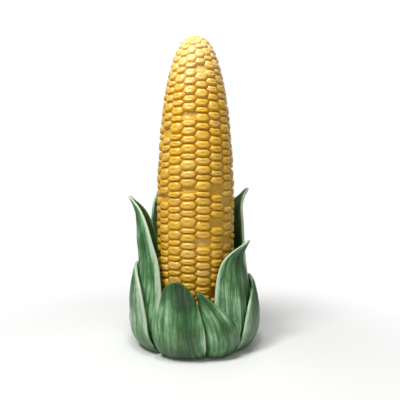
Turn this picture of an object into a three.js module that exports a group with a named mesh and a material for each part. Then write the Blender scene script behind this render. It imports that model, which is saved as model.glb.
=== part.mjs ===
// A glazed ceramic ear of corn, standing upright in a husk of ten peeled leaves.
// Millimetres, +Z up. The origin is the middle of the flat foot, and the front faces -Y.
// Bearings are degrees round the upright axis, 0 at the front and rising towards +X.

import * as THREE from "three";

// ---- The ear -------------------------------------------------------------------------------

const COLUMNS = 16; // kernel columns round the ear
const EAR_RADIUS = 123; // to the creases between kernels, where the ear is widest
const EAR_BASE_Z = 24.3; // the ear stands inside the husk, on the foot
const EAR_WIDEST_Z = 480;
const EAR_TOP_Z = 1058;
const EAR_BASE_NARROWING = 0.14; // share of the radius that is lost by the bottom
const CAP_ROUND = 2.6; // a superellipse closes the top: across the ear,
const CAP_POINT = 1.75; // and along it
const TIP_RADIUS = 6; // the last kernels stop at this radius

const ROWS = 40; // kernels in a column
const BASE_HEIGHT = 0.89; // height of the lowest kernels, against the mean of all
const KERNEL_RISE = 13; // how far a kernel stands out of its creases
const UNFILLED_RISE = 0.5; // and one that never filled
const FULL_SIZE = 0.8; // kernels stand out less where the ear is narrower than this share
const KERNEL_UNEVEN = 0.24; // how far a crease wanders, as a share of a kernel's height
const SIDE_POINT = 0.14; // how far a kernel's side points into the next column, per width
const RIDGE_SHARE = 0.46; // width of a kernel's flat crown, as a share of its width

// Kernels that never filled: [column, height]. They leave flat patches.
const UNFILLED = [
  [0, 916], [15, 754], [13, 732], [15, 536], [1, 533], [2, 489], [1, 428], [13, 499],
  [0, 356], [2, 355], [1, 195], [5, 870], [7, 640], [9, 790], [10, 430], [6, 350],
  [4, 600], [8, 505], [11, 650], [12, 300],
];

// ---- The husk ------------------------------------------------------------------------------

const LEAF_THICKNESS = 9;
const LAYER_STEP = 10.5; // from the middle of one leaf to the middle of the one over it
const FOOT_EDGE = { r: 152, z: 4.5 }; // a leaf starts here, tucked under
const BELLY_Z = 105; // the widest part of the bulb
const FOOT_SWELL = 13; // how far an outer leaf stands out at its foot, between its margins
const TIP_HALF_WIDTH = 13;
const EAR_CLEARANCE = 4; // between a leaf's inner face and the kernels

// Each leaf runs between two bearings at the foot and ends at a third at its tip.
//   rise     heights and radii of its middle line, from the belly to the tip
//   lean     when it turns to the tip's bearing: below 1 early, above 1 late
//   full     how long it keeps its width
//   point    0.5 for a round end, 1 for a pointed one
//   turn     how far its first and its last margin turn in towards the ear
//   over     layers that its first and its last margin lie above the ear's own leaves
//   roll     a margin that is rolled back: -1 for the first or 1 for the last, width, height
const LEAVES = {
  leaf_right: {
    from: 18, to: 78, tip: 62, lean: 3, full: 9, point: 1.2, turn: [28, 12], over: [0, 0],
    roll: [-1, 16, 4],
    rise: [[105, 201], [157, 197], [199, 190], [241, 182], [304, 172], [361, 198]],
  },
  leaf_right_back: {
    from: 88, to: 165, tip: 115, lean: 1.5, full: 5.5, point: 1.35, turn: [6, 28], over: [0, 0],
    roll: [-1, 20, 4],
    rise: [[105, 201], [199, 184], [300, 171], [400, 168], [472, 174], [528, 211]],
  },
  leaf_left_back: {
    from: 167, to: 236, tip: 216, lean: 1.5, full: 6, point: 1, turn: [15, 15], over: [0, 0],
    rise: [[105, 207], [199, 198], [300, 194], [400, 202], [488, 205], [560, 190]],
  },
  leaf_left: {
    from: 246, to: 333, tip: 268, lean: 0.7, full: 2.8, point: 0.9, turn: [50, 50], over: [0, 0],
    roll: [1, 30, 10],
    rise: [[105, 210], [200, 200], [283, 193], [350, 200], [409, 203], [461, 211], [503, 232]],
  },
  husk_front_left: {
    from: 321, to: 369.5, tip: 343, lean: 1.5, full: 2.6, point: 0.5, turn: [0, 0], over: [1, 1],
    rise: [[105, 206], [165, 191], [250, 202]],
  },
  husk_front: {
    from: 8, to: 45, tip: 3, lean: 2.5, full: 2.8, point: 0.8, turn: [2, 2], over: [0, 1],
    rise: [[105, 203], [160, 189], [209, 177]],
  },
  husk_right: {
    from: 46, to: 118, tip: 97, lean: 3, full: 5, point: 0.7, turn: [2, 2], over: [1, 1],
    rise: [[105, 202], [157, 197.5], [199, 188.5], [227, 179]],
  },
  husk_back_right: {
    from: 119, to: 168, tip: 150, lean: 1.5, full: 2.2, point: 0.6, turn: [4, 4], over: [1, 1],
    rise: [[105, 207], [199, 199], [300, 212]],
  },
  husk_back_left: {
    from: 169, to: 221, tip: 190, lean: 1.5, full: 2.4, point: 0.55, turn: [4, 4], over: [1, 1],
    rise: [[105, 209], [170, 207], [240, 212]],
  },
  husk_left: {
    from: 222, to: 317, tip: 270, lean: 1.5, full: 3.5, point: 0.5, turn: [2, 5], over: [1, 1],
    roll: [1, 27, 5],
    rise: [[105, 210], [157, 212], [231, 203], [272, 194]],
  },
};

const LEAF_STEPS = 12; // facets along a leaf
const LEAF_STRIPS = 7; // and across it

const FOOT_RADIUS = 142;
const FOOT_FLARE = 12; // wider at the top by this much
const FOOT_HEIGHT = 24;
const FOOT_FILL = 22; // the foot reaches out by this much where no inner leaf stands round it,
const UNLEAVED = [[-26, 7], [79, 87], [237, 242]]; // between these bearings

// ---- Finishes ------------------------------------------------------------------------------

const kernelGlaze = new THREE.MeshStandardMaterial({ color: 0xe0ae2c, roughness: 0.35 });
const leafGlaze = new THREE.MeshStandardMaterial({ color: 0x4f8a5b, roughness: 0.45 });
const bareClay = new THREE.MeshStandardMaterial({ color: 0xb9a489, roughness: 0.9 });

// ---- Shared helpers ------------------------------------------------------------------------

const { lerp, degToRad, smoothstep, clamp } = THREE.MathUtils;

// A point at a radius, bearing (radians) and height.
const around = (r, bearing, z) => [r * Math.sin(bearing), -r * Math.cos(bearing), z];

// The same number from -1 to 1 for the same two whole numbers.
function wobble(a, b) {
  const x = Math.sin(a * 12.9898 + b * 78.233) * 43758.5453;
  return 2 * (x - Math.floor(x)) - 1;
}

// A mesh from points and triangles. Flat shading suits facets.
function meshOf(name, points, triangles, material) {
  const geometry = new THREE.BufferGeometry();
  geometry.setAttribute("position", new THREE.Float32BufferAttribute(points.flat(), 3));
  geometry.setIndex(triangles.flat());
  geometry.computeVertexNormals();
  const mesh = new THREE.Mesh(geometry, material);
  mesh.name = name;
  return mesh;
}

// ---- The ear's outline ---------------------------------------------------------------------

// Points [r, z] of the crease surface from the base to the apex, with the length up to each.
function earOutline() {
  const below = 60;
  const above = 240;
  const outline = [];
  for (let i = 0; i < below; i++) {
    const t = 1 - i / below;
    const r = EAR_RADIUS * (1 - EAR_BASE_NARROWING * t ** 2.6);
    outline.push({ r, z: lerp(EAR_WIDEST_Z, EAR_BASE_Z, t) });
  }
  for (let i = 0; i <= above; i++) {
    const angle = (i / above) * (Math.PI / 2);
    const r = EAR_RADIUS * Math.cos(angle) ** (2 / CAP_ROUND);
    const t = Math.sin(angle) ** (2 / CAP_POINT);
    outline.push({ r: Math.max(r, 0), z: lerp(EAR_WIDEST_Z, EAR_TOP_Z, t) });
  }
  let length = 0;
  outline.forEach((p, i) => {
    if (i) length += Math.hypot(p.r - outline[i - 1].r, p.z - outline[i - 1].z);
    p.s = length;
  });
  return outline;
}

const OUTLINE = earOutline();
const KERNELS_END = OUTLINE.findLast((p) => p.r > TIP_RADIUS).s;

// The crease surface at a length s from the base, with its outward normal.
function earAt(s) {
  let i = OUTLINE.findIndex((p) => p.s > s);
  if (i < 0) i = OUTLINE.length - 1;
  i = Math.max(i, 1);
  const [a, b] = [OUTLINE[i - 1], OUTLINE[i]];
  const t = clamp((s - a.s) / (b.s - a.s), 0, 1);
  const run = b.s - a.s;
  return {
    r: lerp(a.r, b.r, t),
    z: lerp(a.z, b.z, t),
    nr: (b.z - a.z) / run,
    nz: -(b.r - a.r) / run,
  };
}

// A point that stands out of the crease surface by rise.
function onEar(s, bearing, rise) {
  const p = earAt(s);
  return around(p.r + rise * p.nr, bearing, p.z + rise * p.nz);
}

// How far the kernels reach from the axis at a height.
function kernelReach(z) {
  const above = clamp((z - EAR_WIDEST_Z) / (EAR_TOP_Z - EAR_WIDEST_Z), 0, 1);
  return EAR_RADIUS * (1 - above ** CAP_POINT) ** (1 / CAP_ROUND) + KERNEL_RISE;
}

// ---- The ear's kernels ---------------------------------------------------------------------

// The creases across one column, from the base to the last kernel. Odd columns are staggered.
function creasesOf(column) {
  const stagger = column % 2 ? 0.5 : 0;
  const creases = [0];
  for (let row = 1; row < ROWS + stagger; row++) {
    const share = (row - stagger + KERNEL_UNEVEN * wobble(column, row)) / ROWS;
    creases.push(KERNELS_END * lerp(share ** 2, share, BASE_HEIGHT));
  }
  creases.push(KERNELS_END);
  return creases;
}

// The ear is a net of creases, in which each kernel is a low roof over its own outline.
function ear() {
  const points = [];
  const triangles = [];
  const add = (p) => points.push(p) - 1;
  const step = (2 * Math.PI) / COLUMNS;
  const creases = Array.from({ length: COLUMNS }, (_, column) => creasesOf(column));

  // The line between two columns zigzags: each column's creases pull it to their own side.
  const lines = creases.map((right, column) => {
    const left = creases[(column + COLUMNS - 1) % COLUMNS];
    const ends = [0, KERNELS_END];
    const marks = [
      ...right.filter((s) => !ends.includes(s)).map((s) => ({ s, side: 1 })),
      ...left.filter((s) => !ends.includes(s)).map((s) => ({ s, side: -1 })),
      ...ends.map((s) => ({ s, side: 0 })),
    ].sort((a, b) => a.s - b.s);
    return marks.map((m) => {
      const bearing = (column + m.side * SIDE_POINT) * step;
      return { s: m.s, point: add(onEar(m.s, bearing, 0)) };
    });
  });

  const isUnfilled = (column, low, high) =>
    UNFILLED.some(([c, z]) => c === column && earAt(low).z < z && z <= earAt(high).z);

  creases.forEach((own, column) => {
    const next = (column + 1) % COLUMNS;
    for (let row = 0; row + 1 < own.length; row++) {
      const [low, high] = [own[row], own[row + 1]];
      const between = (line) =>
        line.filter((m) => m.s >= low - 1e-9 && m.s <= high + 1e-9).map((m) => m.point);
      const left = between(lines[column]);
      const right = between(lines[next]);
      const middle = (low + high) / 2;
      const small = Math.min(1, earAt(middle).r / (FULL_SIZE * EAR_RADIUS));
      const rise = isUnfilled(column, low, high) ? UNFILLED_RISE : KERNEL_RISE * small;
      const crown = [-1, 1].map((side) =>
        add(onEar(middle, (column + 0.5 + (side * RIDGE_SHARE) / 2) * step, rise)),
      );
      const fan = (line, top, flip) => {
        for (let i = 0; i + 1 < line.length; i++) {
          const face = [line[i], line[i + 1], top];
          triangles.push(flip ? face.reverse() : face);
        }
      };
      fan(left, crown[0], true);
      fan(right, crown[1], false);
      triangles.push([left[0], right[0], crown[1]], [left[0], crown[1], crown[0]]);
      const [topLeft, topRight] = [left.at(-1), right.at(-1)];
      triangles.push([topRight, topLeft, crown[0]], [topRight, crown[0], crown[1]]);
    }
  });

  // A flat end stands on the foot, and a last facet ring closes the tip.
  const base = add([0, 0, EAR_BASE_Z]);
  const apex = add([0, 0, EAR_TOP_Z + 2]);
  lines.forEach((line, column) => {
    const next = lines[(column + 1) % COLUMNS];
    triangles.push([base, next[0].point, line[0].point]);
    triangles.push([apex, line.at(-1).point, next.at(-1).point]);
  });
  return meshOf("ear", points, triangles, kernelGlaze);
}

// ---- The husk's leaves ---------------------------------------------------------------------

// A smooth curve through stations of height and radius, which starts upright.
function curveThrough(stations, z) {
  const last = stations.length - 1;
  const slope = (i) => {
    if (i === 0) return 0;
    const [a, b] = [stations[i - 1], stations[Math.min(i + 1, last)]];
    return (b[1] - a[1]) / (b[0] - a[0]);
  };
  let i = stations.findIndex(([height]) => height > z) - 1;
  if (i < 0) i = last - 1;
  const [[z0, r0], [z1, r1]] = [stations[i], stations[i + 1]];
  const t = (z - z0) / (z1 - z0);
  const bend = (slope(i) * (1 - t) - slope(i + 1) * t) * t * (1 - t) * (z1 - z0);
  return lerp(r0, r1, t * t * (3 - 2 * t)) + bend;
}

// The radius of a leaf's middle line at a height. Below the belly all leaves round into the foot.
function leafRadius(leaf, z) {
  if (z >= BELLY_Z) return curveThrough(leaf.rise, z);
  const t = (BELLY_Z - z) / (BELLY_Z - FOOT_EDGE.z);
  return lerp(leaf.rise[0][1], FOOT_EDGE.r, t ** 2.5);
}

// The middle surface of a leaf: along from 0 at the foot to 1 at the tip, across from -1 to 1.
function leafMiddle(leaf, along, across) {
  const height = leaf.rise.at(-1)[0];
  const z = lerp(FOOT_EDGE.z, height, along ** 1.2);
  const middle = leafRadius(leaf, z);
  const slope = leafRadius(leaf, z + 0.5) - leafRadius(leaf, z - 0.5);

  const half = degToRad(leaf.to - leaf.from) / 2;
  const taper = (1 - along ** leaf.full) ** leaf.point;
  const spread = Math.max(half * taper, TIP_HALF_WIDTH / middle);
  const foot = degToRad(leaf.from + leaf.to) / 2;
  const bearing = lerp(foot, degToRad(leaf.tip), along ** leaf.lean) + across * spread;

  const over = lerp(leaf.over[0], leaf.over[1], smoothstep(across, -1, -0.5));
  const low = clamp((BELLY_Z - z) / (BELLY_Z - FOOT_EDGE.z), 0, 1);
  const swell = FOOT_SWELL * low ** 1.5 * (1 - across ** 2);
  const lift = over * (LAYER_STEP * Math.hypot(1, slope) + swell);
  const turn = leaf.turn[across < 0 ? 0 : 1];
  const turnedIn = turn * smoothstep(along, 0.1, 0.45) * (1 - along ** 8) * across ** 2;
  const clear = kernelReach(z) + EAR_CLEARANCE + LEAF_THICKNESS / 2;
  const [side, width, proud] = leaf.roll ?? [1, 1, 0];
  const inside = clamp(((1 - side * across) * spread * middle) / width, 0, 1);
  const grown = smoothstep(along, 0.15, 0.4) * (1 - along ** 8);
  const rolled = proud * Math.sqrt(1 - inside ** 2) * grown;
  const r = Math.max(middle + lift - turnedIn, clear) + rolled;
  return new THREE.Vector3(...around(r, bearing, z));
}

// One leaf as a closed shell: an inner and an outer face, and a rim round them.
function leafOf(name, leaf) {
  const points = [];
  const triangles = [];
  const tiny = 1e-3;
  const at = (u, v) => leafMiddle(leaf, clamp(u, 0, 1), clamp(v, -1, 1));
  for (const side of [1, -1]) {
    for (let i = 0; i <= LEAF_STEPS; i++) {
      for (let j = 0; j <= LEAF_STRIPS; j++) {
        const [u, v] = [i / LEAF_STEPS, (2 * j) / LEAF_STRIPS - 1];
        const up = at(u + tiny, v).sub(at(u - tiny, v));
        const round = at(u, v + tiny).sub(at(u, v - tiny));
        const out = round.cross(up).normalize();
        const p = at(u, v).addScaledVector(out, (side * LEAF_THICKNESS) / 2);
        points.push([p.x, p.y, Math.max(p.z, 0)]);
      }
    }
  }
  const row = LEAF_STRIPS + 1;
  const face = (LEAF_STEPS + 1) * row;
  const quad = (a, b, c, d) => triangles.push([a, b, c], [a, c, d]);
  for (let i = 0; i < LEAF_STEPS; i++) {
    for (let j = 0; j < LEAF_STRIPS; j++) {
      const a = i * row + j;
      quad(a, a + 1, a + row + 1, a + row);
      quad(face + a, face + a + row, face + a + row + 1, face + a + 1);
    }
  }
  for (let i = 0; i < LEAF_STEPS; i++) {
    const first = i * row;
    const last = first + LEAF_STRIPS;
    quad(first, first + row, face + first + row, face + first);
    quad(last, face + last, face + last + row, last + row);
  }
  for (let j = 0; j < LEAF_STRIPS; j++) {
    const top = LEAF_STEPS * row + j;
    quad(j, face + j, face + j + 1, j + 1);
    quad(top, top + 1, face + top + 1, face + top);
  }
  return meshOf(name, points, triangles, leafGlaze);
}

// ---- The foot ------------------------------------------------------------------------------

// How far the foot reaches at a bearing in degrees.
function footRadius(bearing) {
  const fill = UNLEAVED.map(([from, to]) => {
    const past = THREE.MathUtils.euclideanModulo(bearing - from, 360);
    return clamp(Math.min(past, to - from - past) / 0.6, 0, 1);
  });
  return FOOT_RADIUS + FOOT_FILL * Math.max(...fill);
}

// A slab closes the bulb from below, and everything stands on it.
function foot() {
  const corners = UNLEAVED.flatMap(([from, to]) => [from, from + 0.6, to - 0.6, to]);
  const even = Array.from({ length: 60 }, (_, i) => i * 6);
  const bearings = [...corners.map((b) => (b + 360) % 360), ...even].sort((a, b) => a - b);
  const points = [[0, 0, 0], [0, 0, FOOT_HEIGHT]];
  for (const bearing of new Set(bearings)) {
    const r = footRadius(bearing);
    points.push(around(r, degToRad(bearing), 0));
    points.push(around(r + FOOT_FLARE, degToRad(bearing), FOOT_HEIGHT));
  }
  const triangles = [];
  const count = points.length - 2;
  for (let i = 0; i < count; i += 2) {
    const [a, b] = [2 + i, 2 + ((i + 2) % count)];
    triangles.push([0, b, a], [1, a + 1, b + 1], [a, b, b + 1], [a, b + 1, a + 1]);
  }
  return meshOf("foot", points, triangles, bareClay);
}

// ---- The whole -----------------------------------------------------------------------------

const corn = new THREE.Group();
corn.add(foot(), ear());
for (const [name, leaf] of Object.entries(LEAVES)) corn.add(leafOf(name, leaf));

export default corn;
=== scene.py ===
# A glazed ceramic ear of corn in its husk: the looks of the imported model.
# Sizes are millimetres, made metres by MM where a mesh or a tree takes them. +Z is up and the
# front faces -Y. Bearings are degrees round the upright axis, 0 at the front. The set is in metres.

import math

import bpy
import numpy as np
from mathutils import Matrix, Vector


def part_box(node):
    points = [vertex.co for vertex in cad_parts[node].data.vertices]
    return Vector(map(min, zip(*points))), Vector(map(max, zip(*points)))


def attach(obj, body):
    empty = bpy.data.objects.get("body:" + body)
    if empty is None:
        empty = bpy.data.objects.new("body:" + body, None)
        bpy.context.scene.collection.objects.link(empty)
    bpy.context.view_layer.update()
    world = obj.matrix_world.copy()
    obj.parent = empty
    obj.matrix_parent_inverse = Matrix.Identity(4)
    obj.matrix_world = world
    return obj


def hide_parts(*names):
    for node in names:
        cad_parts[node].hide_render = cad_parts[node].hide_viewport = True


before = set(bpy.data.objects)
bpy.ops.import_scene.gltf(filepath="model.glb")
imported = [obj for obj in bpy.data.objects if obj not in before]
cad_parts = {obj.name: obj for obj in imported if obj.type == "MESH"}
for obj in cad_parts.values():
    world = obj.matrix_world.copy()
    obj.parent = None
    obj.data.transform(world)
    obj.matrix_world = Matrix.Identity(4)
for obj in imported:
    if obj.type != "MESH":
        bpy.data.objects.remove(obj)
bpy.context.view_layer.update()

MM = 0.001

LANE = 15  # mm across a leaf to one step of its ribs' and streaks' patterns
STROKE = 200  # and mm along it

# ---- The sizes of the ear, as in the model ---------------------------------------------------

COLUMNS = 16  # kernel columns round the ear
EAR_RADIUS = 123  # to the creases between kernels, where the ear is widest
EAR_BASE_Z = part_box("ear")[0].z / MM
EAR_WIDEST_Z = 480
APEX = 2  # the last facets rise this far above the crease surface
EAR_TOP_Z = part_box("ear")[1].z / MM - APEX
EAR_BASE_NARROWING = 0.14  # share of the radius that is lost by the bottom
CAP_ROUND = 2.6  # a superellipse closes the top: across the ear,
CAP_POINT = 1.75  # and along it
TIP_RADIUS = 6  # the last kernels stop at this radius
ROWS = 40  # kernels in a column
BASE_HEIGHT = 0.89  # height of the lowest kernels, against the mean of all
KERNEL_RISE = 13  # how far a kernel stands out of its creases
KERNEL_UNEVEN = 0.24  # how far a crease wanders, as a share of a kernel's height
SIDE_POINT = 0.14  # how far a kernel's side points into the next column, per width
FULL_SIZE = 0.8  # kernels stand out less where the ear is narrower than this share
# Kernels that never filled, by column and height. They leave flat patches.
UNFILLED = [
    (0, 916), (15, 754), (13, 732), (15, 536), (1, 533), (2, 489), (1, 428), (13, 499),
    (0, 356), (2, 355), (1, 195), (5, 870), (7, 640), (9, 790), (10, 430), (6, 350),
    (4, 600), (8, 505), (11, 650), (12, 300),
]

# ---- The sizes of the husk, as in the model --------------------------------------------------

LEAF_THICKNESS = 9
LAYER_STEP = 10.5  # from the middle of one leaf to the middle of the one over it
FOOT_EDGE = (152, 4.5)  # radius and height where a leaf starts, tucked under
BELLY_Z = 105  # the widest part of the bulb
FOOT_SWELL = 13  # how far an outer leaf stands out at its foot, between its margins
TIP_HALF_WIDTH = 13
EAR_CLEARANCE = 4  # between a leaf's inner face and the kernels
FOOT_EASE = 1.2  # above 1, the points along a leaf are closer together at its foot

# Each leaf runs between two bearings at the foot and ends at a third at its tip.
#   rise      heights and radii of its middle line, from the belly to the tip
#   lean      when it turns to the tip's bearing: below 1 early, above 1 late
#   full      how long it keeps its width
#   point     0.5 for a round end, 1 for a pointed one
#   turn      how far its first and its last margin turn in towards the ear
#   over      layers that its first and its last margin lie above the ear's own leaves
#   roll      a margin that is rolled back: -1 for the first or 1 for the last, width, height
# and, in the glaze only:
#   wash  how much paler it is painted, standing in for the stronger light that falls on it from the
#   left
#   tip_shade_and_glaze  how much darker its tip is made: partly painted shade, where its top turns
#   out and shade falls under it, and partly a darker glaze
#   gather    1 where all its streaks draw together to the tip, 0 where they keep their width and
#             run off its margins
LEAVES = {
    "leaf_right": dict(
        start=18, stop=78, tip=62, lean=3, full=9, point=1.2, turn=(28, 12), over=(0, 0),
        roll=(-1, 16, 4),
        rise=[(105, 201), (157, 197), (199, 190), (241, 182), (304, 172), (361, 198)],
    ),
    "leaf_right_back": dict(
        start=88, stop=165, tip=115, lean=1.5, full=5.5, point=1.35, turn=(6, 28), over=(0, 0),
        roll=(-1, 20, 4),
        rise=[(105, 201), (199, 184), (300, 171), (400, 168), (472, 174), (528, 211)],
    ),
    "leaf_left_back": dict(
        start=167, stop=236, tip=216, lean=1.5, full=6, point=1, turn=(15, 15), over=(0, 0),
        rise=[(105, 207), (199, 198), (300, 194), (400, 202), (488, 205), (560, 190)],
    ),
    "leaf_left": dict(
        start=246, stop=333, tip=268, lean=0.7, full=2.8, point=0.9, turn=(50, 50), over=(0, 0),
        roll=(1, 30, 10),
        rise=[(105, 210), (200, 200), (283, 193), (350, 200), (409, 203), (461, 211), (503, 232)],
    ),
    "husk_front_left": dict(
        start=321, stop=369.5, tip=343, lean=1.5, full=2.6, point=0.5, turn=(0, 0), over=(1, 1),
        tip_shade_and_glaze=0.28, gather=0.1,
        rise=[(105, 206), (165, 191), (250, 202)],
    ),
    "husk_front": dict(
        start=8, stop=45, tip=3, lean=2.5, full=2.8, point=0.8, turn=(2, 2), over=(0, 1),
        tip_shade_and_glaze=0.3,
        rise=[(105, 203), (160, 189), (209, 177)],
    ),
    "husk_right": dict(
        start=46, stop=118, tip=97, lean=3, full=5, point=0.7, turn=(2, 2), over=(1, 1),
        rise=[(105, 202), (157, 197.5), (199, 188.5), (227, 179)],
    ),
    "husk_back_right": dict(
        start=119, stop=168, tip=150, lean=1.5, full=2.2, point=0.6, turn=(4, 4), over=(1, 1),
        rise=[(105, 207), (199, 199), (300, 212)],
    ),
    "husk_back_left": dict(
        start=169, stop=221, tip=190, lean=1.5, full=2.4, point=0.55, turn=(4, 4), over=(1, 1),
        rise=[(105, 209), (170, 207), (240, 212)],
    ),
    "husk_left": dict(
        start=222, stop=317, tip=270, lean=1.5, full=3.5, point=0.5, turn=(2, 5), over=(1, 1),
        # Painted light: this leaf is made paler, as it is lit strongly from the left.
        roll=(1, 27, 5), wash=0.2,
        rise=[(105, 210), (157, 212), (231, 203), (272, 194)],
    ),
}

# ---- Helpers ---------------------------------------------------------------------------------


def linear(hex_colour):
    """An sRGB hex colour as linear RGBA."""
    parts = [int(hex_colour[i : i + 2], 16) / 255 for i in (1, 3, 5)]
    return [p / 12.92 if p <= 0.04045 else ((p + 0.055) / 1.055) ** 2.4 for p in parts] + [1]


def node(tree, kind, inputs=None, **settings):
    """Adds a node. An input is named or numbered, and is given a value or a socket to link."""
    made = tree.nodes.new(kind)
    for key, value in settings.items():
        setattr(made, key, value)
    for key, value in (inputs or {}).items():
        if isinstance(value, bpy.types.NodeSocket):
            tree.links.new(value, made.inputs[key])
        else:
            made.inputs[key].default_value = value
    return made


def smooth(x, low, high):
    t = np.clip((x - low) / (high - low), 0, 1)
    return t * t * (3 - 2 * t)


def wobble(a, b):
    """The same number from -1 to 1 for the same two whole numbers."""
    x = math.sin(a * 12.9898 + b * 78.233) * 43758.5453
    return 2 * (x - math.floor(x)) - 1


def grow(piece, tree, sizes):
    """Runs a node tree on a piece and keeps the result as its plain mesh."""
    modifier = piece.modifiers.new(tree.name, "NODES")
    modifier.node_group = tree
    for item in tree.interface.items_tree:
        if item.in_out == "INPUT" and item.name in sizes:
            modifier[item.identifier] = sizes[item.name]
    shown = piece.evaluated_get(bpy.context.evaluated_depsgraph_get())
    mesh = bpy.data.meshes.new_from_object(shown)
    piece.modifiers.clear()
    piece.data = mesh
    mesh.name = piece.name


def piece_of(name, points, faces, **attributes):
    """A new object from points in millimetres, with a float attribute on points or faces."""
    mesh = bpy.data.meshes.new(name)
    mesh.from_pydata(np.asarray(points, float) * MM, [], faces)
    for key, values in attributes.items():
        domain = "POINT" if len(values) == len(points) else "FACE"
        layer = mesh.attributes.new(key, "FLOAT", domain)
        layer.data.foreach_set("value", np.asarray(values, np.float32))
    piece = bpy.data.objects.new(name, mesh)
    bpy.context.scene.collection.objects.link(piece)
    return piece


def stand_for(piece, cad_node):
    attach(piece, "root")
    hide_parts(cad_node)


# ---- Finishes --------------------------------------------------------------------------------


def new_material(name):
    material = bpy.data.materials.new(name)
    material.use_nodes = True
    tree = material.node_tree
    return material, tree, tree.nodes["Principled BSDF"]


def colour_ramp(tree, value, stops):
    ramp = node(tree, "ShaderNodeValToRGB", {0: value})
    elements = ramp.color_ramp.elements
    while len(elements) < len(stops):
        elements.new(0.5)
    for element, (position, colour) in zip(elements, stops):
        element.position = position
        element.color = linear(colour)
    return ramp.outputs["Color"]


# Where one patch, ripple, stroke or strand of a glaze gives way to the next, in millimetres.
GOLD_CLOUD = 36
GOLD_RIPPLE = 6
GREEN_CLOUD = 80
GREEN_STROKE = 7.5
GREEN_STRAND = 5
CLAY_GROG = 3  # real grog is about 1 mm, and is drawn coarser so that it shows


def golden_glaze():
    """Glazed stoneware, brushed on: satin golden yellow and a little clouded, with painted light:
    lighter in the creases and paler towards the top of the ear, where it is lit more strongly.
    """
    material, tree, shader = new_material("golden_brushed_glaze")
    stand = node(tree, "ShaderNodeAttribute", attribute_name="stand").outputs["Fac"]
    tint = node(tree, "ShaderNodeAttribute", attribute_name="tint").outputs["Fac"]
    here = node(tree, "ShaderNodeTexCoord").outputs["Object"]
    cloud = node(
        tree, "ShaderNodeTexNoise", {"Vector": here, "Scale": 1 / (GOLD_CLOUD * MM), "Detail": 3}
    )
    cloudy = 0.35  # how much the clouds count against how far a kernel stands out
    uneven = node(
        tree,
        "ShaderNodeMath",
        {0: cloud.outputs["Fac"], 1: cloudy, 2: stand},
        operation="MULTIPLY_ADD",
    )
    shade = node(
        tree, "ShaderNodeMath", {0: uneven.outputs[0], 1: cloudy / 2}, operation="SUBTRACT"
    )
    # Painted light: the colour is lighter and yellower low in the creases between kernels. It
    # stands in for the warm light bounced there, against their shade.
    body = colour_ramp(
        tree,
        shade.outputs[0],
        [(0.0, "#f0b420"), (0.25, "#e6ac1c"), (0.5, "#dca820"), (0.95, "#e2b234")],
    )
    # Painted light mixed with the kernels' own tone: paler towards the lit top of the ear, and some
    # kernels paler at random.
    lit_top_and_tone = node(
        tree, "ShaderNodeMix", {0: tint, 6: body, 7: linear("#edcf88")}, data_type="RGBA"
    )
    tree.links.new(lit_top_and_tone.outputs[2], shader.inputs["Base Color"])
    shader.inputs["Roughness"].default_value = 0.33
    shader.inputs["Coat Weight"].default_value = 0.3
    shader.inputs["Coat Roughness"].default_value = 0.28
    ripple = node(
        tree, "ShaderNodeTexNoise", {"Vector": here, "Scale": 1 / (GOLD_RIPPLE * MM), "Detail": 2}
    )
    bump = node(
        tree,
        "ShaderNodeBump",
        {"Height": ripple.outputs["Fac"], "Strength": 0.25, "Distance": 1 * MM},
    )
    tree.links.new(bump.outputs[0], shader.inputs["Normal"])
    return material


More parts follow.
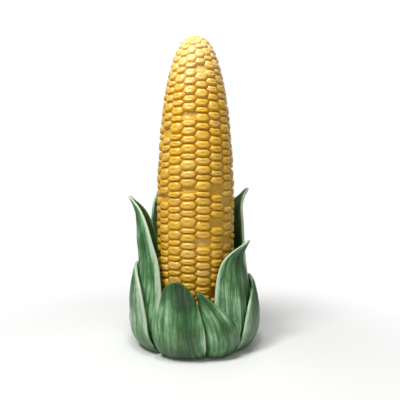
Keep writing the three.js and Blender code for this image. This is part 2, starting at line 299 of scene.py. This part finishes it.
def leaf_glaze():
    """Glazed stoneware, wiped back: pale on the ribs and rims, deep green where it pooled. With
    painted light it is paler where a leaf is lit and darker at its foot, and darker at its tip
    partly from painted shade and partly from a darker glaze.
    """
    material, tree, shader = new_material("green_wiped_glaze")
    rib = node(tree, "ShaderNodeAttribute", attribute_name="rib").outputs["Fac"]
    edge = node(tree, "ShaderNodeAttribute", attribute_name="edge").outputs["Fac"]
    across = node(tree, "ShaderNodeAttribute", attribute_name="lane").outputs["Fac"]
    along = node(tree, "ShaderNodeAttribute", attribute_name="along").outputs["Fac"]
    wash = node(tree, "ShaderNodeAttribute", attribute_name="wash").outputs["Fac"]
    lanes = node(tree, "ShaderNodeCombineXYZ", {0: across, 1: along})
    streaks = node(
        tree,
        "ShaderNodeTexNoise",
        {"Vector": lanes.outputs[0], "Scale": LANE / GREEN_STROKE, "Detail": 5, "Roughness": 0.75},
    )
    here = node(tree, "ShaderNodeTexCoord").outputs["Object"]
    cloud = node(
        tree, "ShaderNodeTexNoise", {"Vector": here, "Scale": 1 / (GREEN_CLOUD * MM), "Detail": 4}
    )
    height = node(tree, "ShaderNodeSeparateXYZ", {0: here}).outputs["Z"]
    # Painted shade: the glaze is made darker towards the foot, where the bulb turns under and shade
    # falls.
    painted_foot_shade = node(
        tree, "ShaderNodeMapRange", {0: height, 1: 0.0, 2: 80 * MM, 3: 1.0, 4: 0.0}
    )
    rim = node(tree, "ShaderNodeMapRange", {0: edge, 1: 2.0, 2: 8.0, 3: 0.35, 4: 0.0})
    # What makes the glaze paler, with its weight, from a start that leaves the grooves deep green.
    shade = node(
        tree, "ShaderNodeMath", {0: rib, 1: 2.0, 2: -1.84}, operation="MULTIPLY_ADD"
    ).outputs[0]
    for layer, weight in (
        (streaks.outputs["Fac"], 1.6),
        (cloud.outputs["Fac"], 1.1),
        (rim.outputs[0], 0.8),
        (wash, 1.0),
        (painted_foot_shade.outputs[0], -0.4),
    ):
        shade = node(
            tree, "ShaderNodeMath", {0: layer, 1: weight, 2: shade}, operation="MULTIPLY_ADD"
        ).outputs[0]
    body = colour_ramp(
        tree,
        shade,
        [
            (0.05, "#183f19"), (0.3, "#2b5a2a"), (0.55, "#4a7b48"),
            (0.8, "#80aa7d"), (1.0, "#b8ccb1"),
        ],
    )
    strands = node(
        tree,
        "ShaderNodeTexNoise",
        {"Vector": lanes.outputs[0], "Scale": LANE / GREEN_STRAND, "Detail": 1},
    )
    straw = node(
        tree, "ShaderNodeMapRange", {0: strands.outputs["Fac"], 1: 0.6, 2: 0.72, 3: 0.0, 4: 0.25}
    )
    stranded = node(
        tree,
        "ShaderNodeMix",
        {0: straw.outputs[0], 6: body, 7: linear("#9a9f52")},
        data_type="RGBA",
    )
    tree.links.new(stranded.outputs[2], shader.inputs["Base Color"])
    shader.inputs["Roughness"].default_value = 0.4
    shader.inputs["Coat Weight"].default_value = 0.2
    shader.inputs["Coat Roughness"].default_value = 0.25
    return material


def bare_clay():
    """Unglazed fired stoneware: matt and sandy, with a fine grog that breaks up the light."""
    material, tree, shader = new_material("buff_stoneware")
    here = node(tree, "ShaderNodeTexCoord").outputs["Object"]
    grog = node(
        tree, "ShaderNodeTexNoise", {"Vector": here, "Scale": 1 / (CLAY_GROG * MM), "Detail": 3}
    )
    body = colour_ramp(tree, grog.outputs["Fac"], [(0.3, "#a48b6a"), (0.7, "#c8b08c")])
    tree.links.new(body, shader.inputs["Base Color"])
    shader.inputs["Roughness"].default_value = 0.85
    return material


# ---- The ear ---------------------------------------------------------------------------------


def ear_outline():
    """Radii and heights of the crease surface from the base to the apex, and the length to each."""
    t = np.linspace(1, 0, 61)[:-1]
    low_r = EAR_RADIUS * (1 - EAR_BASE_NARROWING * t**2.6)
    low_z = EAR_WIDEST_Z + (EAR_BASE_Z - EAR_WIDEST_Z) * t
    angle = np.linspace(0, math.pi / 2, 241)
    high_r = EAR_RADIUS * np.clip(np.cos(angle), 0, 1) ** (2 / CAP_ROUND)
    high_z = EAR_WIDEST_Z + (EAR_TOP_Z - EAR_WIDEST_Z) * np.sin(angle) ** (2 / CAP_POINT)
    r = np.concatenate([low_r, high_r])
    z = np.concatenate([low_z, high_z])
    s = np.concatenate([[0], np.cumsum(np.hypot(np.diff(r), np.diff(z)))])
    return r, z, s


OUT_R, OUT_Z, OUT_S = ear_outline()
KERNELS_END = OUT_S[np.nonzero(OUT_R > TIP_RADIUS)[0][-1]]


def on_ear(s, bearing):
    """A point of the crease surface at a length s from the base."""
    r = np.interp(s, OUT_S, OUT_R)
    z = np.interp(s, OUT_S, OUT_Z)
    return (r * math.sin(bearing), -r * math.cos(bearing), z)


def creases_of(column):
    """The creases across one column, from the base to the last kernel. Odd ones are staggered."""
    stagger = 0.5 if column % 2 else 0
    marks = [0]
    row = 1
    while row < ROWS + stagger:
        share = (row - stagger + KERNEL_UNEVEN * wobble(column, row)) / ROWS
        marks.append(KERNELS_END * (share**2 + (share - share**2) * BASE_HEIGHT))
        row += 1
    return marks + [KERNELS_END]


CREASE_BOW = 0.06  # how far a crease bows up or down, as a share of a kernel's height
UNFILLED_RISE = 0.06  # what is left of the rise of a kernel that never filled
RISE_UNEVEN = 0.12
TOP_LIGHT_FROM, TOP_LIGHT_TO = 780, 1030  # painted light: the glaze is made paler between these heights, as the top of the ear is lit more strongly
TOP_LIGHT = 0.6
PALE_UNEVEN = 0.2


def kernel_net():
    """The creases between kernels as a closed net, with one face for each kernel."""
    step = 2 * math.pi / COLUMNS
    points, faces, fill, tint = [], [], [], []
    creases = [creases_of(c) for c in range(COLUMNS)]

    def add(s, bearing):
        points.append(on_ear(s, bearing))
        return len(points) - 1

    lines = []
    for column in range(COLUMNS):
        marks = [(s, 1) for s in creases[column][1:-1]]
        marks += [(s, -1) for s in creases[column - 1][1:-1]]
        marks += [(0, 0), (KERNELS_END, 0)]
        marks.sort()
        lines.append([(s, add(s, (column + side * SIDE_POINT) * step)) for s, side in marks])

    cross = {}
    for column in range(COLUMNS):
        for s in creases[column]:
            ends = [(column + SIDE_POINT) * step, (column + 1 - SIDE_POINT) * step]
            if s in (0, KERNELS_END):
                ends = [column * step, (column + 1) * step]
            inner = [ends[0] + (ends[1] - ends[0]) * k / 3 for k in (1, 2)]
            bow = CREASE_BOW * (KERNELS_END / ROWS) * (s not in (0, KERNELS_END))
            cross[column, s] = [
                add(s + bow * wobble(column * 7 + k, int(s)), b) for k, b in enumerate(inner)
            ]

    for column in range(COLUMNS):
        own = creases[column]
        for row, (low, high) in enumerate(zip(own, own[1:])):
            left = [p for s, p in lines[column] if low - 1e-9 <= s <= high + 1e-9]
            right = [p for s, p in lines[(column + 1) % COLUMNS] if low - 1e-9 <= s <= high + 1e-9]
            top, bottom = cross[column, high], cross[column, low]
            faces.append(bottom + right + top[::-1] + left[::-1])
            z_low, z_high = np.interp([low, high], OUT_S, OUT_Z)
            bare = any(c == column and z_low < z <= z_high for c, z in UNFILLED)
            r = np.interp((low + high) / 2, OUT_S, OUT_R)
            small = min(1, r / (FULL_SIZE * EAR_RADIUS))
            even = 1 + RISE_UNEVEN * wobble(column + 31, row)
            fill.append(UNFILLED_RISE if bare else small * even)
            # Painted light: kernels high on the ear are made paler, as if lit more strongly from
            # above. The random part is each kernel's own tone.
            lit_top = TOP_LIGHT * smooth(z_low, TOP_LIGHT_FROM, TOP_LIGHT_TO)
            tint.append(lit_top + PALE_UNEVEN * max(0, wobble(column + 57, row)))

    # A flat end closes the net below, and a ring of triangles closes it at the apex.
    kernels = len(faces)
    base_ring, tip_ring = [], []
    for column in range(COLUMNS):
        base_ring += [lines[column][0][1]] + cross[column, 0]
        tip_ring += [lines[column][-1][1]] + cross[column, KERNELS_END]
    faces.append(base_ring[::-1])
    points.append((0, 0, EAR_TOP_Z + APEX))
    apex = len(points) - 1
    for a, b in zip(tip_ring, tip_ring[1:] + tip_ring[:1]):
        faces.append([a, b, apex])
    rest = len(faces) - kernels
    return points, faces, fill + [0] * rest, tint + [TOP_LIGHT] * rest, [1] * kernels + [0] * rest


# Width, height and rise of each step up a kernel, against the whole: steep narrow sides, a broad
# slope above and below, and a small dimple in the crown.
KERNEL_STEPS = [
    (0.978, 0.945, 0.27), (0.94, 0.845, 0.54), (0.875, 0.69, 0.77),
    (0.74, 0.48, 0.93), (0.34, 0.34, 1.01), (0.19, 0.23, 0.95),
]
KERNEL_DROOP = 0.2  # how far a kernel hangs down, as a share of how far it stands out


def kernel_tree():
    """Raises a kernel on each face of the net, step by step, and notes how far it stands out."""
    tree = bpy.data.node_groups.new("kernels_on_net", "GeometryNodeTree")
    face = tree.interface
    face.new_socket("Net", in_out="INPUT", socket_type="NodeSocketGeometry")
    face.new_socket("Kernel Rise", in_out="INPUT", socket_type="NodeSocketFloat")
    face.new_socket("Glaze", in_out="INPUT", socket_type="NodeSocketMaterial")
    face.new_socket("Ear", in_out="OUTPUT", socket_type="NodeSocketGeometry")
    given = node(tree, "NodeGroupInput").outputs
    fill = node(tree, "GeometryNodeInputNamedAttribute", {"Name": "fill"}, data_type="FLOAT")
    kernel = node(tree, "GeometryNodeInputNamedAttribute", {"Name": "kernel"}, data_type="FLOAT")
    chosen = node(
        tree, "FunctionNodeCompare", {0: kernel.outputs[0], 1: 0.5}, operation="GREATER_THAN"
    )
    rise = node(
        tree, "ShaderNodeMath", {0: fill.outputs[0], 1: given["Kernel Rise"]}, operation="MULTIPLY"
    )
    # The apex has no kernels, and is glazed like a crown.
    crown = node(
        tree, "ShaderNodeMath", {0: 1.0, 1: kernel.outputs[0]}, operation="SUBTRACT"
    )
    mesh = node(
        tree,
        "GeometryNodeStoreNamedAttribute",
        {"Geometry": given["Net"], "Name": "stand", "Value": crown.outputs[0]},
        data_type="FLOAT",
        domain="POINT",
    ).outputs[0]
    top = chosen.outputs[0]
    width, height, risen = 1, 1, 0
    for next_width, next_height, next_rise in KERNEL_STEPS:
        lift = node(
            tree,
            "ShaderNodeMath",
            {0: rise.outputs[0], 1: next_rise - risen},
            operation="MULTIPLY",
        )
        raised = node(
            tree,
            "GeometryNodeExtrudeMesh",
            {"Mesh": mesh, "Selection": top, "Offset Scale": lift.outputs[0], "Individual": True},
            mode="FACES",
        )
        top = raised.outputs["Top"]
        narrowed = node(
            tree,
            "GeometryNodeScaleElements",
            {"Geometry": raised.outputs["Mesh"], "Selection": top, "Scale": next_width / width},
            domain="FACE",
        )
        lowered = node(
            tree,
            "GeometryNodeScaleElements",
            {
                "Geometry": narrowed.outputs[0],
                "Selection": top,
                "Scale": (next_height / height) / (next_width / width),
                "Axis": (0, 0, 1),
            },
            domain="FACE",
            scale_mode="SINGLE_AXIS",
        )
        drop = node(
            tree, "ShaderNodeMath", {0: lift.outputs[0], 1: -KERNEL_DROOP}, operation="MULTIPLY"
        )
        down = node(tree, "ShaderNodeCombineXYZ", {2: drop.outputs[0]})
        hung = node(
            tree,
            "GeometryNodeSetPosition",
            {"Geometry": lowered.outputs[0], "Selection": top, "Offset": down.outputs[0]},
        )
        mesh = node(
            tree,
            "GeometryNodeStoreNamedAttribute",
            {"Geometry": hung.outputs[0], "Selection": top, "Name": "stand", "Value": next_rise},
            data_type="FLOAT",
            domain="POINT",
        ).outputs[0]
        width, height, risen = next_width, next_height, next_rise
    soft = node(tree, "GeometryNodeSetShadeSmooth", {"Geometry": mesh, "Shade Smooth": True})
    real = node(tree, "GeometryNodeRealizeInstances", {0: soft.outputs[0]})
    done = node(
        tree,
        "GeometryNodeSetMaterial",
        {"Geometry": real.outputs[0], "Material": given["Glaze"]},
    )
    node(tree, "NodeGroupOutput", {0: done.outputs[0]})
    return tree


def make_ear(glaze):
    points, faces, fill, tint, kernel = kernel_net()
    ear = piece_of("ear_kernels", points, faces, fill=fill, tint=tint, kernel=kernel)
    grow(ear, kernel_tree(), {"Kernel Rise": KERNEL_RISE * MM, "Glaze": glaze})
    stand_for(ear, "ear")


# ---- The husk --------------------------------------------------------------------------------


def curve_through(stations, z):
    """A smooth curve through stations of height and radius, which starts upright."""
    heights = np.array([h for h, _ in stations], float)
    radii = np.array([r for _, r in stations], float)
    last = len(stations) - 1
    slopes = [0.0]
    for i in range(1, last + 1):
        j = min(i + 1, last)
        slopes.append((radii[j] - radii[i - 1]) / (heights[j] - heights[i - 1]))
    slopes = np.array(slopes)
    i = np.clip(np.searchsorted(heights, z, side="right") - 1, 0, last - 1)
    span = heights[i + 1] - heights[i]
    t = (z - heights[i]) / span
    bend = (slopes[i] * (1 - t) - slopes[i + 1] * t) * t * (1 - t) * span
    return radii[i] + (radii[i + 1] - radii[i]) * t * t * (3 - 2 * t) + bend


def leaf_radius(leaf, z):
    """The radius of a leaf's middle line. Below the belly all leaves round into the foot."""
    t = np.clip((BELLY_Z - z) / (BELLY_Z - FOOT_EDGE[1]), 0, None)
    low = leaf["rise"][0][1] + (FOOT_EDGE[0] - leaf["rise"][0][1]) * t**2.5
    return np.where(z >= BELLY_Z, curve_through(leaf["rise"], np.maximum(z, BELLY_Z)), low)


def kernel_reach(z):
    """How far the kernels reach from the axis at a height."""
    above = np.clip((z - EAR_WIDEST_Z) / (EAR_TOP_Z - EAR_WIDEST_Z), 0, 1)
    return EAR_RADIUS * (1 - above**CAP_POINT) ** (1 / CAP_ROUND) + KERNEL_RISE


def leaf_sheet(leaf, along, across):
    """The middle surface of a leaf: along from 0 at the foot to 1, across from -1 to 1.

    It gives the points, the leaf's half width there, and how far up its roll each one is.
    """
    height = leaf["rise"][-1][0]
    z = FOOT_EDGE[1] + (height - FOOT_EDGE[1]) * along**FOOT_EASE
    middle = leaf_radius(leaf, z)
    slope = leaf_radius(leaf, z + 0.5) - leaf_radius(leaf, z - 0.5)
    half = math.radians(leaf["stop"] - leaf["start"]) / 2
    taper = np.clip(1 - along ** leaf["full"], 0, 1) ** leaf["point"]
    spread = np.maximum(half * taper, TIP_HALF_WIDTH / middle)
    to_tip = np.clip((z - height) / TIP_HALF_WIDTH + 1, 0, 1)
    spread = spread * np.maximum(np.sqrt(1 - to_tip**2), 0.5)
    foot = math.radians(leaf["start"] + leaf["stop"]) / 2
    lean = (math.radians(leaf["tip"]) - foot) * along ** leaf["lean"]
    bearing = foot + lean + across * spread
    first, last = leaf["over"]
    over = first + (last - first) * smooth(across, -1, -0.5)
    low = np.clip((BELLY_Z - z) / (BELLY_Z - FOOT_EDGE[1]), 0, 1)
    swell = FOOT_SWELL * low**1.5 * (1 - across**2)
    lift = over * (LAYER_STEP * np.hypot(1, slope) + swell)
    turn = np.where(across < 0, *leaf["turn"])
    turned = turn * smooth(along, 0.1, 0.45) * (1 - along**8) * across**2
    clear = kernel_reach(z) + EAR_CLEARANCE + LEAF_THICKNESS / 2
    r = np.maximum(middle + lift - turned, clear)
    side, wide, high = leaf.get("roll", (1, 1, 0))
    inside = np.clip((1 - side * across) * spread * middle / wide, 0, 1)
    grown = smooth(along, 0.15, 0.4)
    r = r + high * np.sqrt(1 - inside**2) * grown * (1 - along**8)
    xyz = np.stack([r * np.sin(bearing), -r * np.cos(bearing), z], -1)
    return xyz, spread * middle, np.where(high > 0, 1 - inside, 0) * grown


EDGE_STEPS = np.array([0, 0.35, 1.2, 2.6, 4.8])  # rows of points, by how far in from the rim
ROUNDED = 4.5  # the rim is rounded over this width


def leaf_grid(leaf, rows=64, strips=44):
    """Points of a leaf's middle surface, closest together at its rim."""
    height = leaf["rise"][-1][0]
    ends = EDGE_STEPS / (FOOT_EASE * height)
    foot = (EDGE_STEPS / height) ** (1 / FOOT_EASE)
    along = np.concatenate([foot, np.linspace(foot[-1], 1 - ends[-1], rows)[1:-1], 1 - ends[::-1]])
    u = np.repeat(along[:, None], strips + 1 + 2 * (len(EDGE_STEPS) - 1), 1)
    half_width = leaf_sheet(leaf, along, np.zeros_like(along))[1]
    v = np.zeros_like(u)
    for i, wide in enumerate(half_width):
        rim = EDGE_STEPS * min(1, 0.6 * wide / EDGE_STEPS[-1]) / wide
        inner = np.linspace(-1 + rim[-1], 1 - rim[-1], strips + 1)
        v[i] = np.concatenate([-1 + rim[:-1], inner, 1 - rim[:-1][::-1]])
    xyz, _, roll = leaf_sheet(leaf, u, v)
    from_margin = (1 - np.abs(v)) * half_width[:, None]
    from_ends = np.minimum((1 - u) * FOOT_EASE * height, u**FOOT_EASE * height)
    edge = np.minimum(from_margin, from_ends)
    return u, v, xyz, edge, roll, half_width[:, None]


FOLD_WIDTH = 50
RIB_SCALE = 0.85  # ribs to a lane, so that one is about 18 mm wide
RIB_SHARE = 0.65  # of the ribs, against the broader folds
RIB_DEPTH = 22
CALM_FROM, CALM_TO = 3.0, 22.0  # the ribs die away between these distances from the rim


def leaf_tree():
    """Ribs a leaf's sheet, and thickens it into a shell with a rounded rim."""
    tree = bpy.data.node_groups.new("ribbed_shell", "GeometryNodeTree")
    face = tree.interface
    face.new_socket("Sheet", in_out="INPUT", socket_type="NodeSocketGeometry")
    face.new_socket("Thickness", in_out="INPUT", socket_type="NodeSocketFloat")
    face.new_socket("Rib Depth", in_out="INPUT", socket_type="NodeSocketFloat")
    face.new_socket("Rib Middle", in_out="INPUT", socket_type="NodeSocketFloat")
    face.new_socket("Glaze", in_out="INPUT", socket_type="NodeSocketMaterial")
    face.new_socket("Leaf", in_out="OUTPUT", socket_type="NodeSocketGeometry")
    given = node(tree, "NodeGroupInput").outputs
    attribute = {
        key: node(
            tree, "GeometryNodeInputNamedAttribute", {"Name": key}, data_type="FLOAT"
        ).outputs[0]
        for key in ("lane", "along", "edge")
    }
    lanes = node(tree, "ShaderNodeCombineXYZ", {0: attribute["lane"], 1: attribute["along"]})
    folds = node(
        tree,
        "ShaderNodeTexNoise",
        {"Vector": lanes.outputs[0], "Scale": LANE / FOLD_WIDTH, "Detail": 1},
    )
    ribs = node(
        tree,
        "ShaderNodeTexNoise",
        {"Vector": lanes.outputs[0], "Scale": RIB_SCALE, "Detail": 3, "Roughness": 0.5},
    )
    rib = node(
        tree,
        "ShaderNodeMix",
        {0: RIB_SHARE, 2: folds.outputs[0], 3: ribs.outputs[0]},
        data_type="FLOAT",
    ).outputs[0]
    stored = node(
        tree,
        "GeometryNodeStoreNamedAttribute",
        {"Geometry": given["Sheet"], "Name": "rib", "Value": rib},
        data_type="FLOAT",
        domain="POINT",
    )
    calm = node(
        tree,
        "ShaderNodeMapRange",
        {0: attribute["edge"], 1: CALM_FROM, 2: CALM_TO, 3: 0.0, 4: 1.0},
    )
    centred = node(tree, "ShaderNodeMath", {0: rib, 1: given["Rib Middle"]}, operation="SUBTRACT")
    depth = node(
        tree, "ShaderNodeMath", {0: centred.outputs[0], 1: given["Rib Depth"]}, operation="MULTIPLY"
    )
    depth = node(
        tree, "ShaderNodeMath", {0: depth.outputs[0], 1: calm.outputs[0]}, operation="MULTIPLY"
    )
    normal = node(tree, "GeometryNodeInputNormal").outputs[0]
    shift = node(
        tree, "ShaderNodeVectorMath", {0: normal, "Scale": depth.outputs[0]}, operation="SCALE"
    )
    ribbed = node(
        tree,
        "GeometryNodeSetPosition",
        {"Geometry": stored.outputs[0], "Offset": shift.outputs[0]},
    )
    # The half thickness is a quarter round at the rim.
    share = node(
        tree, "ShaderNodeMapRange", {0: attribute["edge"], 1: 0.0, 2: ROUNDED, 3: 1.0, 4: 0.0}
    )
    square = node(tree, "ShaderNodeMath", {0: share.outputs[0], 1: 2.0}, operation="POWER")
    remaining = node(tree, "ShaderNodeMath", {0: 1.0, 1: square.outputs[0]}, operation="SUBTRACT")
    round_rim = node(tree, "ShaderNodeMath", {0: remaining.outputs[0]}, operation="SQRT")
    half = node(
        tree, "ShaderNodeMath", {0: given["Thickness"], 1: 0.5}, operation="MULTIPLY"
    )
    reach = node(
        tree, "ShaderNodeMath", {0: half.outputs[0], 1: round_rim.outputs[0]}, operation="MULTIPLY"
    )
    skins = []
    for side in (1, -1):
        signed = node(tree, "ShaderNodeMath", {0: reach.outputs[0], 1: side}, operation="MULTIPLY")
        move = node(
            tree, "ShaderNodeVectorMath", {0: normal, "Scale": signed.outputs[0]}, operation="SCALE"
        )
        skin = node(
            tree,
            "GeometryNodeSetPosition",
            {"Geometry": ribbed.outputs[0], "Offset": move.outputs[0]},
        ).outputs[0]
        if side < 0:
            skin = node(tree, "GeometryNodeFlipFaces", {"Mesh": skin}).outputs[0]
        skins.append(skin)
    joined = node(tree, "GeometryNodeJoinGeometry")
    for skin in skins:
        tree.links.new(skin, joined.inputs[0])
    # The two skins meet at the rim.
    welded = node(
        tree, "GeometryNodeMergeByDistance", {"Geometry": joined.outputs[0], "Distance": 0.01 * MM}
    )
    soft = node(
        tree, "GeometryNodeSetShadeSmooth", {"Geometry": welded.outputs[0], "Shade Smooth": True}
    )
    real = node(tree, "GeometryNodeRealizeInstances", {0: soft.outputs[0]})
    done = node(
        tree, "GeometryNodeSetMaterial", {"Geometry": real.outputs[0], "Material": given["Glaze"]}
    )
    node(tree, "NodeGroupOutput", {0: done.outputs[0]})
    return tree


GATHER = 0.6
# How much darker a leaf's tip is made by default: partly painted shade, partly a darker glaze.
TIP_SHADE_AND_GLAZE = 0.12
ROLL_LIGHT = 0.5  # painted light: a rolled margin is made paler by this much, where it catches the key light
OWN_STREAKS = 40  # lanes from one leaf to the next, so that no two have the same streaks


def make_leaf(name, leaf, tree, glaze, number):
    u, v, xyz, edge, roll, half_width = leaf_grid(leaf)
    rows, strips = u.shape
    index = np.arange(rows * strips).reshape(rows, strips)
    quads = np.stack(
        [index[:-1, :-1], index[:-1, 1:], index[1:, 1:], index[1:, :-1]], -1
    ).reshape(-1, 4)
    # The streaks draw together towards the tip, and some run off the margins.
    gather = leaf.get("gather", GATHER)
    lane = v * (gather * half_width.max() + (1 - gather) * half_width) / LANE
    # Painted light: paler where a leaf is lit from the left and on its rolled margin. Darker at the
    # tip, partly painted shade and partly a darker glaze.
    tip_darkening = leaf.get("tip_shade_and_glaze", TIP_SHADE_AND_GLAZE) * smooth(u, 0.65, 0.95)
    wash = leaf.get("wash", 0) + ROLL_LIGHT * roll - tip_darkening
    piece = piece_of(
        name + "_glazed",
        xyz.reshape(-1, 3),
        quads.tolist(),
        lane=(lane + OWN_STREAKS * number).ravel(),
        along=(u * leaf["rise"][-1][0] / STROKE).ravel(),
        edge=edge.ravel(),
        wash=wash.ravel(),
    )
    grow(
        piece,
        tree,
        {
            "Thickness": LEAF_THICKNESS * MM,
            "Rib Depth": RIB_DEPTH * MM,
            # The pattern lies round 0.5, so low leaves swell outwards and tall ones inwards.
            "Rib Middle": 0.4 if any(leaf["over"]) else 0.6,
            "Glaze": glaze,
        },
    )
    stand_for(piece, name)


# ---- The foot --------------------------------------------------------------------------------


def leave_foot_bare(clay):
    """The foot is the model's own slab, left bare."""
    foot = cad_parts["foot"]
    foot.data.materials.clear()
    foot.data.materials.append(clay)


# ---- The set ---------------------------------------------------------------------------------

AMBIENT = 0.28  # of the white world, which the camera itself sees at full strength
PAPER_HALF = 4  # metres
PAPER_FADE = (0.3, 0.95)  # metres from the middle over which the paper melts into the white
AIM = Vector((0, 0, 0.45))
LIGHTS = [  # place and size in metres, and watts
    ("key_softbox", (-1.0, -1.1, 2.2), 0.6, 38),
    ("top_softbox", (-0.1, -0.6, 2.3), 0.6, 18),
    ("fill_softbox", (0.6, -2.2, 0.9), 1.5, 6),
    ("back_softbox", (0.9, 1.9, 1.5), 1.5, 9),
]


def make_world():
    scene = bpy.context.scene
    scene.view_settings.view_transform = "Standard"
    world = bpy.data.worlds.new("studio")
    scene.world = world
    world.use_nodes = True
    sky = world.node_tree.nodes["Background"]
    sky.inputs[0].default_value = (1, 1, 1, 1)
    ray = node(world.node_tree, "ShaderNodeLightPath").outputs["Is Camera Ray"]
    glow = node(world.node_tree, "ShaderNodeMapRange", {0: ray, 3: AMBIENT, 4: 1.0})
    world.node_tree.links.new(glow.outputs[0], sky.inputs[1])


def make_floor():
    mesh = bpy.data.meshes.new("floor")
    corners = [(x * PAPER_HALF, y * PAPER_HALF, 0) for x, y in ((-1, -1), (1, -1), (1, 1), (-1, 1))]
    mesh.from_pydata(corners, [], [(0, 1, 2, 3)])
    floor = bpy.data.objects.new("floor", mesh)
    bpy.context.scene.collection.objects.link(floor)
    paper, tree, shader = new_material("pale_paper")
    shader.inputs["Base Color"].default_value = linear("#f2f2f0")
    shader.inputs["Roughness"].default_value = 0.9
    here = node(tree, "ShaderNodeTexCoord").outputs["Object"]
    away = node(tree, "ShaderNodeVectorMath", {0: here}, operation="LENGTH").outputs["Value"]
    fade = node(
        tree,
        "ShaderNodeMapRange",
        {0: away, 1: PAPER_FADE[0], 2: PAPER_FADE[1], 3: 1.0, 4: 0.0},
        interpolation_type="SMOOTHSTEP",
    )
    tree.links.new(fade.outputs[0], shader.inputs["Alpha"])
    mesh.materials.append(paper)


def make_lights():
    for name, place, size, power in LIGHTS:
        light = bpy.data.lights.new(name, "AREA")
        light.size = size
        light.energy = power
        lamp = bpy.data.objects.new(name, light)
        lamp.location = place
        lamp.rotation_euler = (AIM - Vector(place)).to_track_quat("-Z", "Y").to_euler()
        bpy.context.scene.collection.objects.link(lamp)


def make_camera():
    """Level, at about half the height of the whole, which a shift brings into view."""
    camera = bpy.data.cameras.new("camera")
    camera.sensor_width = 36
    camera.lens = 41.3
    camera.shift_x = 0.011
    camera.shift_y = -0.06
    eye = bpy.data.objects.new("camera", camera)
    eye.location = (0, -1.604, 0.572)
    eye.rotation_euler = (math.pi / 2, 0, 0)
    bpy.context.scene.collection.objects.link(eye)
    bpy.context.scene.camera = eye


make_world()
make_floor()
make_lights()
make_camera()
corn_glaze = golden_glaze()
husk_glaze = leaf_glaze()
clay = bare_clay()
make_ear(corn_glaze)
shell = leaf_tree()
for number, (name, leaf) in enumerate(LEAVES.items()):
    make_leaf(name, leaf, shell, husk_glaze, number)
leave_foot_bare(clay)
